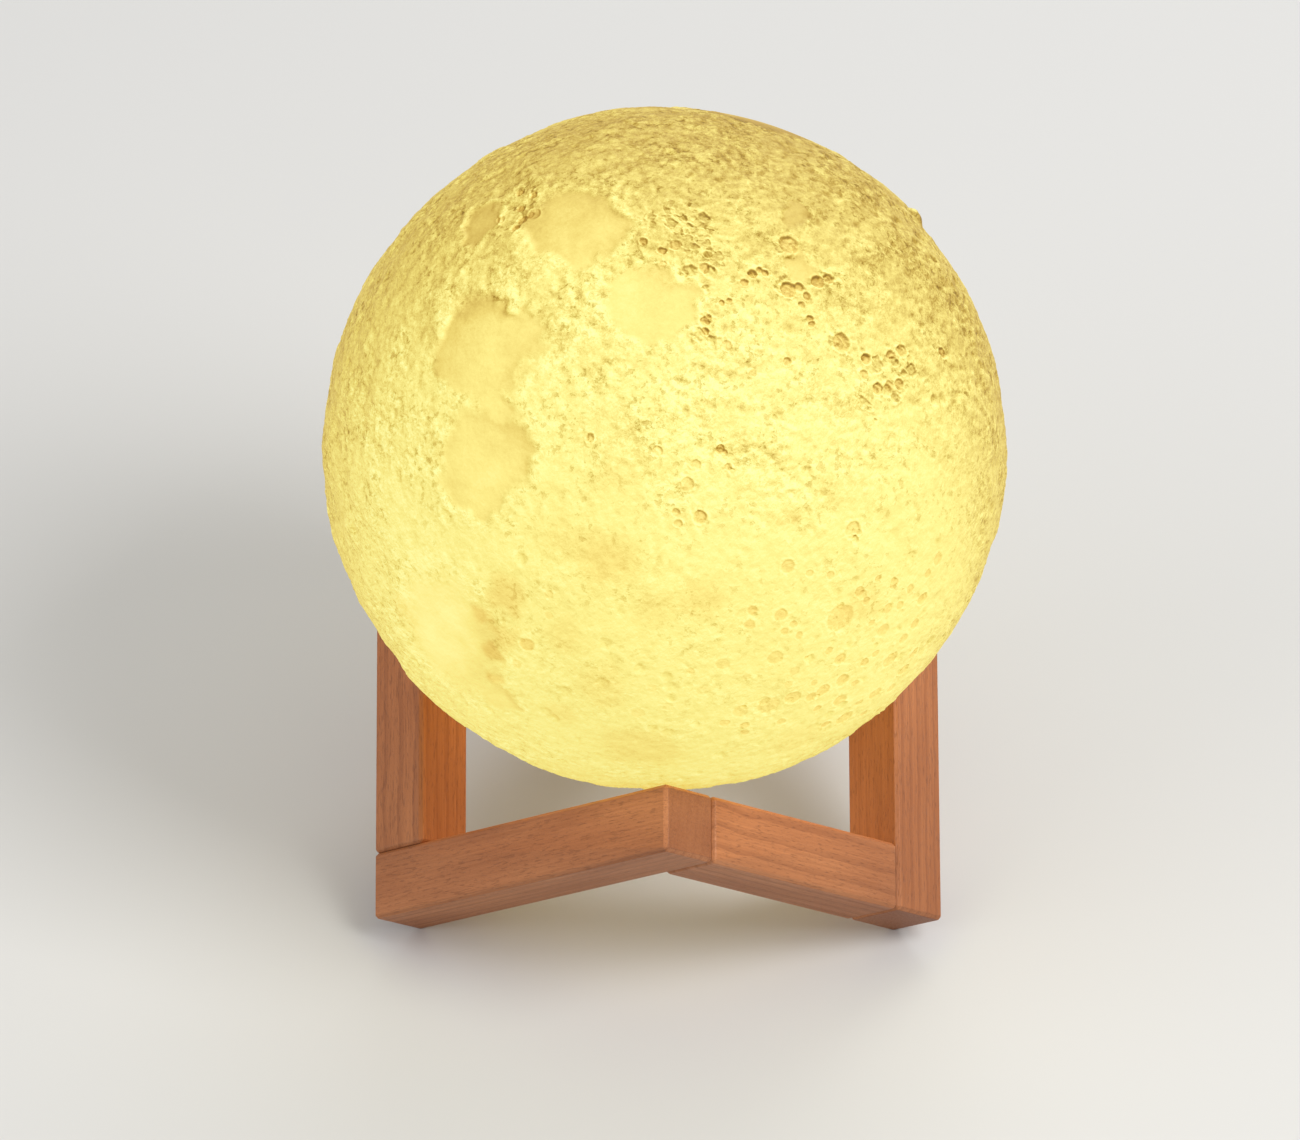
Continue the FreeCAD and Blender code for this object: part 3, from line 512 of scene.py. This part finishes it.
def crater_field(ways, craters, calm):
    """The depth in mm that craters add, and how far each direction is crater floor, inner wall or lip."""
    depth, floor, wall, rim = (np.zeros(len(ways)) for _ in range(4))
    for turn, height, size, strength in craters:
        middle = direction(turn, height)
        near = np.nonzero(ways @ middle > math.cos(2.0 * size * MM / RADIUS))[0]
        if not len(near):
            continue
        share = apart(ways[near], middle) / size
        share = np.maximum(share + 0.08 * np.sin(3 * share + turn), 0)
        calmed = strength * calm[near]
        deep = min(0.62, 0.20 * size + 0.14) * calmed
        bowl = np.where(share < 1, 1 - share ** (2.5 + 2.5 * min(size, 2)), 0)
        lip = np.exp(-((share - 1.14) / 0.20) ** 2)
        depth[near] = np.maximum(depth[near], bowl * deep) - lip * deep * 0.28
        floor[near] = np.maximum(floor[near], smooth(1 - share, -0.05, 0.2) * calmed)
        wall[near] = np.maximum(wall[near], np.exp(-((share - 0.88) / (0.10 + 0.12 / size)) ** 2) * calmed)
        rim[near] = np.maximum(rim[near], lip * calmed)
    return SimpleNamespace(depth=depth, floor=floor, wall=wall, rim=rim)


def clouds(ways):
    """Soft amber clouds over the skin, 0 to 1."""
    found = np.zeros(len(ways))
    for turn, height, size, strength in placed(CLOUDS):
        away = apart(ways, direction(turn, height)) / size
        found = np.maximum(found, strength * (1 - smooth(away, 0.35, 1.0)))
    return found


def plain_masks(ways, crumpled, height, softness):
    """How deep in a plain and how dark each direction is, and what is plain, beside one or at its edge."""
    inner, tone = plain_depth(warped(crumpled, 1.5, 0.5, 6.0))
    turn = np.degrees(np.arctan2(ways[:, 0], -ways[:, 1]))
    low_left = smooth(-height, -25, -5) * smooth(-turn, 30, 40)
    soft = np.clip(0.8 * smooth(softness, -0.10, 0.30) + low_left, 0, 1)
    plain = smooth(inner, -0.06 - 0.22 * soft, 0.14 + 0.26 * soft)
    around = smooth(inner, -0.30, 0.0) * (1 - plain)
    edge = np.exp(-((inner - 0.05) / 0.07) ** 2) * (1 - soft)
    return SimpleNamespace(inner=inner, tone=tone, plain=plain, around=around, edge=edge)


def ruggedness(ways, height, plains, noises):
    """How rough the skin is: most high up, on the limb and beside the plains, and hardly on the plains."""
    limb = smooth(-(ways @ direction(6, 12)), -0.80, -0.35)
    rugged = 0.32 + 0.68 * np.maximum(smooth(height + 25 * noises["regions"], 18, 44), limb)
    rugged *= 0.55 + 0.45 * smooth(noises["patches"], -0.22, 0.30)
    return np.clip(rugged + 0.4 * plains.around, 0, 1) * (1 - 0.92 * plains.plain)


def relief_forms(ways):
    """All forms of the relief, each as a mask over the directions."""
    crumpled = warped(warped(ways, 13, 2.8), 3.4, 2.2, 3.0)
    near = warped(ways, 1.8, 0.28, 9.0)
    ragged = warped(warped(near, 1.3, 0.75, 15.0), 0.8, 0.35, 19.0)
    height = np.degrees(np.arcsin(np.clip(ways[:, 2], -1, 1)))
    noises = {name: field(ways, *terms) for name, terms in NOISES.items()}
    plains = plain_masks(ways, crumpled, height, noises["softness"])
    rugged = ruggedness(ways, height, plains, noises)
    shallow = 1 - 0.45 * smooth(-height, -26, -8)
    return SimpleNamespace(
        height=height, noises=noises, plains=plains, rugged=rugged, shallow=shallow,
        clouds=clouds(crumpled),
        cliffs=sum(smooth(noises["steps"], level - 0.02, level + 0.02) for level in CLIFF_LEVELS) - 2.5,
        pits=smooth(noises["pits"], 0.30, 0.60) * rugged,
        around=plains.around * (1 + 2 * noises["hills"]),
        spread=crater_field(near, random_craters(), 1 - 0.8 * plains.plain),
        spots=crater_field(near, placed(CRATERS), shallow),
        crowds=crater_field(ragged, PITS, np.ones(len(ways))),
        boulder=1 - smooth(apart(near, direction(*seen(*BOULDER))), 0.9, 3.0),
    )


def skin_depth(form):
    """The depth in mm under the full radius."""
    bumpy = (0.30 + 0.70 * form.rugged) * (1 - 0.9 * form.plains.plain)
    rough = DEPTHS["hills"] * form.noises["hills"] + DEPTHS["grit"] * form.noises["grit"]
    rough += DEPTHS["cliffs"] * form.cliffs
    depth = DEPTHS["skin"] + DEPTHS["plain"] * form.plains.plain + bumpy * rough + DEPTHS["pits"] * form.pits
    depth += form.spread.depth + form.spots.depth + DEPTHS["crowds"] * form.crowds.depth
    depth += DEPTHS["around"] * form.around
    depth = np.clip(depth, 0.0, DEPTHS["deepest"]) * smooth(form.height, -73.0, -66.0)
    return depth - BOULDER_HEIGHT * form.boulder


def skin_glow_and_painted_shade(ways, form):
    """How brightly the skin glows: less where it is thick, with painted shade towards the limb as seen from
    the front and at the far top.
    """
    plains, noises = form.plains, form.noises
    # the limb and far-top layers are painted shade: dimmer away from the front, and at the top behind it
    behind = -(ways @ direction(-3, 10))
    mottled = GLOWS["inner"] * smooth(plains.inner, 0.05, 0.6) + GLOWS["mottle"] * noises["mottle"]
    layers = {
        "limb": smooth(behind, -0.75, 0.05) * (1 - 0.6 * smooth(behind, 0.15, 0.85)),
        "painted_far_top_shade": smooth(form.height, 40, 60) * smooth(behind, -0.1, 0.35),
        "regions": noises["regions"],
        "hills": form.rugged * noises["hills"],
        "grit": form.rugged * noises["grit"],
        "around": form.around,
        "edge": plains.edge * (0.6 + 0.8 * noises["hills"]),
        "clouds": form.clouds,
        "pits": form.pits,
        "floor": form.spread.floor,
        "wall": form.spread.wall,
        "rim": form.spread.rim,
        "spot_floor": form.spots.floor,
        "spot_rim": form.spots.rim,
        "crowd_floor": form.crowds.floor,
        "crowd_wall": form.crowds.wall,
    }
    glow_and_painted_shading = GLOWS["skin"] + plains.plain * (mottled - plains.tone)
    for name, layer in layers.items():
        glow_and_painted_shading += GLOWS[name] * layer
    return glow_and_painted_shading - (0.26 * form.shallow - 0.07) * form.spots.wall


def skin_amber(form):
    """How amber the skin is: in the clouds, the plains and the craters' floors, more so in shallow ones."""
    floors = (4.3 - 3 * form.shallow) * form.spots.floor
    return np.clip(0.75 * form.clouds + 0.35 * form.plains.plain + floors, 0, 1)


def painted_slope_light(ways, normals):
    """How far the skin tilts up and to the right, for painted light from the upper right: such slopes are
    painted brighter and the walls opposite darker.
    """
    east = np.stack((-ways[:, 1], ways[:, 0], np.zeros(len(ways))), axis=-1)
    east /= np.maximum(np.linalg.norm(east, axis=1), 1e-3)[:, None]
    north = np.cross(ways, east)
    return np.sum(normals * (0.8 * north + 0.6 * east), axis=1)


def ball(subdivisions, radius):
    """A ball of even triangles, cut off level at the seat."""
    shape = bmesh.new()
    bmesh.ops.create_icosphere(shape, subdivisions=subdivisions, radius=radius)
    low = SEAT - CENTRE.z
    every = shape.verts[:] + shape.edges[:] + shape.faces[:]
    bmesh.ops.bisect_plane(shape, geom=every, plane_co=(0, 0, low), plane_no=(0, 0, 1), clear_inner=True)
    return shape


def refined(shape):
    """Splits the skin's triangles twice round the listed craters."""
    for extra in (1.2, 0.4):
        ways = np.array([v.co[:] for v in shape.verts])
        ways /= np.linalg.norm(ways, axis=1)[:, None]
        near = np.zeros(len(ways), bool)
        for turn, height, size, _ in placed(CRATERS) + PITS:
            near |= ways @ direction(turn, height) > math.cos((1.3 * size + extra) * MM / RADIUS)
        shape.verts.index_update()
        edges = [e for e in shape.edges if near[e.verts[0].index] and near[e.verts[1].index]]
        bmesh.ops.subdivide_edges(shape, edges=edges, cuts=1, use_grid_fill=True)
        bmesh.ops.triangulate(shape, faces=[f for f in shape.faces if len(f.verts) > 3])


def moon_skin():
    """The relief skin down to the seat, with how it glows, its painted light and shade included, kept on its
    vertices.
    """
    shape = ball(8, RADIUS)
    refined(shape)
    shape.verts.ensure_lookup_table()
    ways = np.array([v.co[:] for v in shape.verts])
    ways /= np.linalg.norm(ways, axis=1)[:, None]
    form = relief_forms(ways)
    for vertex, way, deep in zip(shape.verts, ways, skin_depth(form)):
        if deep != 0:
            vertex.co = Vector(way) * (RADIUS - deep * MM)
    shape.normal_update()
    # painted light: slopes that face up and to the right are brightened and those opposite darkened, less so
    # low on the globe
    painted_tilt_light = painted_slope_light(ways, np.array([v.normal[:] for v in shape.verts]))
    glow_and_painted_shading = skin_glow_and_painted_shade(ways, form) + (GLOWS["painted_tilt_light"] - 0.30 * smooth(-ways[:, 2], -0.45, -0.10)) * painted_tilt_light
    for key, values in (("glow_and_painted_shading", np.clip(glow_and_painted_shading, 0, 1)), ("rugged", form.rugged), ("amber", skin_amber(form))):
        layer = shape.verts.layers.float.new(key)
        for vertex, value in zip(shape.verts, values):
            vertex[layer] = value
    for face in shape.faces:
        face.smooth = True
    return shape


def add_neck(shape):
    """The seat ring, the neck inside it and the step out to the lining."""
    edge = [e for e in shape.edges if e.is_boundary]
    seat = SEAT - CENTRE.z
    for radius, high in (
        (OPENING_RADIUS, seat),
        (OPENING_RADIUS, seat + NECK_HEIGHT),
        (NECK_RADIUS, seat + NECK_HEIGHT),
        (NECK_RADIUS, -math.sqrt(INSIDE_RADIUS**2 - NECK_RADIUS**2)),
    ):
        made = bmesh.ops.extrude_edge_only(shape, edges=edge)["geom"]
        for vertex in (g for g in made if isinstance(g, bmesh.types.BMVert)):
            flat = vertex.co.xy.normalized() * radius
            vertex.co = (flat.x, flat.y, high)
        edge = [g for g in made if isinstance(g, bmesh.types.BMEdge)]
        for face in (g for g in made if isinstance(g, bmesh.types.BMFace)):
            face.material_index = 1


def add_lining(shape):
    """The smooth inside of the shell, facing in."""
    inside = ball(6, INSIDE_RADIUS)
    bmesh.ops.reverse_faces(inside, faces=inside.faces[:])
    for face in inside.faces:
        face.smooth = True
        face.material_index = 1
    lining = bpy.data.meshes.new("lining")
    inside.to_mesh(lining)
    shape.from_mesh(lining)
    bpy.data.meshes.remove(lining)


def moon():
    """The globe: a relief skin, the seat ring, the neck and the smooth inside."""
    shape = moon_skin()
    add_neck(shape)
    add_lining(shape)
    skin = bpy.data.meshes.new("moon_skin")
    shape.to_mesh(skin)
    skin.transform(Matrix.Translation(CENTRE))
    lining_look = plastic("moon_lining", srgb(240, 232, 205), 0.55)
    thing = piece("moon_skin", skin, "globe", "moon_shell", moon_look(), lining_look)
    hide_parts("moon_shell")


def moon_look():
    """Printed resin lit from inside: thin ridges glow pale, thick plains and pits stay amber, with painted
    light from above on its lumps and grain.
    """
    look = Look("moon_glow", srgb(150, 143, 104), 0.6)
    glow_and_painted_shading, rugged, amber = (look.node("Attribute", attribute_name=key).outputs["Fac"]
                           for key in ("glow_and_painted_shading", "rugged", "amber"))
    bend = look.vector("MULTIPLY", look.noise(1.5, output="Color"), (0.9 * MM, 0.9 * MM, 0.9 * MM))
    bent = look.vector("ADD", look.place, bend)

    def lump(place):
        return look.noise(3.6, place, detail=4, rough=0.65)

    def grain(place):
        return look.noise(1.3, place, detail=3, rough=0.7)

    def lower(drop):
        """The bent place a drop in mm down: a noise's difference to there lights it from one side."""
        return look.vector("ADD", bent, (0, 0, -drop * MM))

    lumps, grains = lump(bent), grain(bent)
    marks = look.steps(look.noise(1.7, bent, detail=3, rough=0.6), 0.56, 0.66)
    rise = look.node("SeparateXYZ", {0: look.place}).outputs["Z"]
    for mask in (
        look.steps(look.noise(9, detail=2), 0.38, 0.58),
        look.steps(rugged, 0.06, 0.24),
        look.steps(rise, CENTRE.z - 30 * MM, CENTRE.z + 25 * MM, 0.4, 1.0),
    ):
        marks = look.product(marks, mask)
    uneven = look.math("MULTIPLY_ADD", rugged, 0.80, 0.20)
    detail = look.product(marks, look.math("MULTIPLY_ADD", rugged, -0.06, -0.14))
    for layer, strength in (
        (look.math("SUBTRACT", lumps, 0.5), 0.09),
        (look.math("SUBTRACT", grains, 0.5), 0.22),
        # the next two layers are painted light from above: lumps and grain brightened where they face up,
        # darkened where they face down
        (look.math("SUBTRACT", lump(lower(0.5)), lumps), 0.85),
        (look.math("SUBTRACT", grain(lower(0.25)), grains), 1.10),
    ):
        detail = look.math("MULTIPLY_ADD", layer, look.product(uneven, strength), detail)
    level = look.math("ADD", glow_and_painted_shading, detail)
    ramp = look.node("ValToRGB", {"Fac": level})
    band = ramp.color_ramp
    for element, (position, color) in zip(band.elements, (GLOW_COLORS[0], GLOW_COLORS[-1])):
        element.position, element.color = position, color
    for position, color in GLOW_COLORS[1:-1]:
        band.elements.new(position).color = color
    look.set("Base Color", look.mix(look.steps(level, 0.25, 0.85), srgb(98, 84, 34), srgb(150, 143, 100)))
    look.set("Emission Color", look.mix(amber, ramp.outputs["Color"], AMBER, "MULTIPLY"))
    look.set("Emission Strength", 1.0)
    look.set("Specular IOR Level", 0.2)
    fine = look.math("MULTIPLY_ADD", grains, 0.5, look.math("MULTIPLY_ADD", marks, -0.5, lumps))
    look.set("Normal", look.bump(look.product(fine, uneven), 0.9))
    look.material.cycles.emission_sampling = "NONE"
    return look.material


# the cradle

def cradle():
    """Six beech bars, each with its own grain along its own length."""
    for number, name in enumerate(BARS):
        corners = frame["nodes"][name].data.vertices
        reach = [np.ptp([v.co.dot(way) for v in corners]) for way in LEAN]
        first = reach.index(max(reach))
        along, across, up = (LEAN[(first + step) % 3] for step in range(3))
        dress(name, beech(f"beech_{name}", along, across, up, number))
        eased(name, BAR_EASE)
    dress("stand_pegs", plastic("peg_wood", srgb(210, 172, 128), 0.6, 0.6, 0.05))


def vertex(shape, x, y, height):
    """A new vertex at a place in mm."""
    return shape.verts.new((x * MM, y * MM, height * MM))


def ring(shape, radius, height, middle, count):
    """A level ring of vertices, in mm."""
    angles = (2 * math.pi * step / count for step in range(count))
    return [vertex(shape, middle[0] + radius * math.cos(a), middle[1] + radius * math.sin(a), height)
            for a in angles]


def wall(shape, low, high):
    """Faces between two loops of as many vertices."""
    for step in range(len(low)):
        after = (step + 1) % len(low)
        shape.faces.new((low[step], high[step], high[after], low[after])).smooth = True


def turned(shape, profile, middle, count):
    """Rings at each radius and height of a profile, joined to each other."""
    rings = [ring(shape, radius, height, middle, count) for radius, height in profile]
    for low, high in zip(rings, rings[1:]):
        wall(shape, low, high)
    return rings


def cross(shape, middle, height, scale):
    """The outline of a cross recess, in mm."""
    wide, long = 0.36 * scale, 1.35 * scale
    corners = []
    for way in range(4):
        turn = Matrix.Rotation(way * math.pi / 2, 2)
        corners += [turn @ Vector(p) for p in ((wide, -wide), (long, -wide), (long, wide))]
    return [vertex(shape, middle[0] + p[0], middle[1] + p[1], height) for p in corners]


def edges_of(shape, loop):
    """The edges round a closed loop of vertices, made where they lack."""
    return [shape.edges.get((a, b)) or shape.edges.new((a, b)) for a, b in zip(loop, loop[1:] + loop[:1])]


def finish(shape, name):
    """A closed mesh with its normals turned outward."""
    bmesh.ops.triangulate(shape, faces=[f for f in shape.faces if len(f.verts) > 4])
    bmesh.ops.recalc_face_normals(shape, faces=shape.faces)
    mesh = bpy.data.meshes.new(name)
    shape.to_mesh(mesh)
    mesh.set_sharp_from_angle(angle=math.radians(40))
    return mesh


def screw_profile(foot, tip):
    """Radius and height along a screw, from its domed head by the rolled threads to its tip, in mm."""
    head, shank, root, crest, pitch = SCREW_HEAD, 1.22, 1.02, 1.24, 0.6
    under_head, first_thread = foot + 1.30, foot + 3.0
    profile = [(head - inward, foot + rise) for inward, rise in (
        (0.58, 0), (0.30, 0.05), (0.11, 0.18), (0.01, 0.40), (0, 0.55), (0, 1.30))]
    profile += [(shank, under_head), (shank, first_thread)]
    for thread in range(int((tip - foot - 4.6) / pitch)):
        base = first_thread + thread * pitch
        profile += [(root, base + 0.18), (crest, base + 0.38), (crest, base + 0.48)]
    return profile + [(0.95, tip - 0.9), (0.35, tip)]


def screws(material):
    """Two cross-recessed screws with domed heads and rolled threads."""
    low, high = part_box("cover_screws")
    foot, tip, circle = low[2] / MM, high[2] / MM, high[1] / MM - SCREW_HEAD
    shape = bmesh.new()
    for middle in ((0, circle), (0, -circle)):
        rings = turned(shape, screw_profile(foot, tip), middle, 32)
        shape.faces.new(rings[-1])
        mouth, bottom = cross(shape, middle, foot, 1.0), cross(shape, middle, foot + 0.85, 0.72)
        face = edges_of(shape, rings[0]) + edges_of(shape, mouth)
        bmesh.ops.triangle_fill(shape, use_beauty=True, edges=face)
        wall(shape, mouth, bottom)
        shape.faces.new(bottom)
    thing = piece("screw_set", finish(shape, "screw_set"), "globe", "screw_steel", material)
    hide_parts("cover_screws")


def button(material):
    """The push button: a dished face, a rounded edge and a flange that keeps it in the cover."""
    low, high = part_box("power_button")
    face, top, flange = low[2] / MM, high[2] / MM, high[0] / MM
    side = 5.0
    profile = [(radius, face + rise) for radius, rise in (
        (0.5, 0.34), (1.6, 0.30), (2.8, 0.19), (3.7, 0.06), (4.2, 0.005),
        (4.5, 0), (4.74, 0.06), (4.92, 0.20), (side, 0.42))]
    profile += [(side, top - 1.0), (flange, top - 1.0), (flange, top)]
    shape = bmesh.new()
    rings = turned(shape, profile, (0, 0), 96)
    shape.faces.new(rings[0])
    shape.faces.new(rings[-1])
    thing = piece("push_button", finish(shape, "push_button"), "button", "button", material)
    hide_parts("power_button")


def eased(node, width):
    """A fine round along a CAD node's edges, of a width in mm."""
    thing = frame["nodes"][node]
    weld = thing.modifiers.new("weld", "WELD")
    weld.merge_threshold = 1e-6
    ease = thing.modifiers.new("ease", "BEVEL")
    ease.width = width * MM
    ease.segments = 3
    ease.limit_method = "ANGLE"
    ease.angle_limit = math.radians(30)
    ease.harden_normals = True


def fittings():
    """The light engine under the globe and what it holds."""
    dress("engine_housing", plastic("housing_white", srgb(232, 231, 226), 0.5, 0.35, 0.02))
    dress("base_cover", plastic("cover_white", srgb(226, 225, 220), 0.46, 0.4, 0.03))
    eased("base_cover", COVER_EASE)
    button(plastic("button_satin", srgb(222, 222, 219), 0.3, 0.5, 0.006))
    screws(metal("screw_steel", srgb(190, 190, 192), 0.28))
    black = plastic("black_plastic", srgb(38, 38, 40), 0.42, 0.3, 0.02)
    for name in ("charge_socket", "switch_body", "board_chips"):
        dress(name, black)
    dress("switch_plunger", plastic("stem_plastic", srgb(58, 58, 60), 0.4))
    dress("socket_pin", metal("contact", srgb(226, 200, 130), 0.22))
    dress("charge_light_pipe", plastic("light_pipe", srgb(232, 236, 240), 0.12, Transmission_Weight=0.85))
    dress("charge_led", plastic("charge_lamp", srgb(210, 70, 50), 0.15, Transmission_Weight=0.4))
    dress("main_board", plastic("board_green", srgb(26, 96, 58), 0.32, 0.8, 0.02))
    dress("led_board", plastic("board_white", srgb(238, 238, 234), 0.35, 0.8, 0.01))
    dress("leds", plastic("led_phosphor", srgb(246, 214, 96), 0.25, 0.4, 0.01,
                          Emission_Color=srgb(255, 224, 140), Emission_Strength=2.0))
    dress("battery_cell", metal("battery_foil", srgb(196, 198, 202), 0.34, (2, 2, 2)))
    dress("battery_pad", plastic("foam", srgb(60, 60, 62), 0.9, 0.8, 0.2))
    dress("battery_connector", plastic("connector", srgb(226, 222, 204), 0.45))
    lead = plastic("lead_red", srgb(176, 40, 34), 0.42, 0.5, 0.01)
    for name in ("battery_lead", "led_lead"):
        dress(name, lead)


# the studio and the camera

def camera():
    """The photograph's view: long lens, from above, with a slight roll."""
    eye, right, upward, away = view()
    lens = bpy.data.cameras.new("camera")
    lens.sensor_width = SENSOR
    lens.lens = FOCAL_PIXELS / PHOTO_WIDTH * SENSOR
    seen = bpy.data.objects.new("camera", lens)
    bpy.context.scene.collection.objects.link(seen)
    axes = Matrix((right, upward, away)).transposed().to_4x4()
    axes.translation = eye
    seen.matrix_world = axes
    bpy.context.scene.camera = seen


def lamp(name, place, size, power):
    """A soft square studio light that looks at the lamp."""
    light = bpy.data.lights.new(name, "AREA")
    light.size = size
    light.energy = power
    thing = bpy.data.objects.new(name, light)
    bpy.context.scene.collection.objects.link(thing)
    thing.location = place
    thing.rotation_euler = (AIM - Vector(place)).to_track_quat("-Z", "Y").to_euler()


def glow_on_cradle():
    """The globe's own warm light on the beech: a soft ball of light in its middle that only the bars take."""
    light = bpy.data.lights.new("globe_light", "POINT")
    light.energy = GLOW_POWER
    light.color = GLOW_COLOR
    light.shadow_soft_size = GLOW_SIZE * RADIUS
    thing = bpy.data.objects.new("globe_light", light)
    bpy.context.scene.collection.objects.link(thing)
    thing.location = CENTRE
    thing.parent = frame["bodies"]["globe"]
    bars = bpy.data.collections.new("bars")
    for name in BARS:
        bars.objects.link(frame["nodes"][name])
    thing.light_linking.receiver_collection = bars
    thing.light_linking.blocker_collection = bars


def studio():
    """A plain pale floor under soft light."""
    floor = bpy.data.meshes.new("floor")
    corners = [(x * FLOOR_HALF, y * FLOOR_HALF, 0) for x, y in ((-1, -1), (1, -1), (1, 1), (-1, 1))]
    floor.from_pydata(corners, [], [(0, 1, 2, 3)])
    ground = bpy.data.objects.new("floor", floor)
    bpy.context.scene.collection.objects.link(ground)
    floor.materials.append(Look("floor_pale", (0.66, 0.655, 0.64, 1), 0.75, Specular_IOR_Level=0.2).material)
    world = bpy.data.worlds.new("world")
    world.use_nodes = True
    bpy.context.scene.world = world
    sky = world.node_tree.nodes["Background"]
    sky.inputs["Color"].default_value = (1.0, 1.0, 1.0, 1)
    sky.inputs["Strength"].default_value = SKY
    for name, place, size, power in LAMPS:
        lamp(name, place, size, power)
    bpy.context.scene.view_settings.view_transform = "Standard"


camera()
studio()
moon()
cradle()
fittings()
glow_on_cradle()
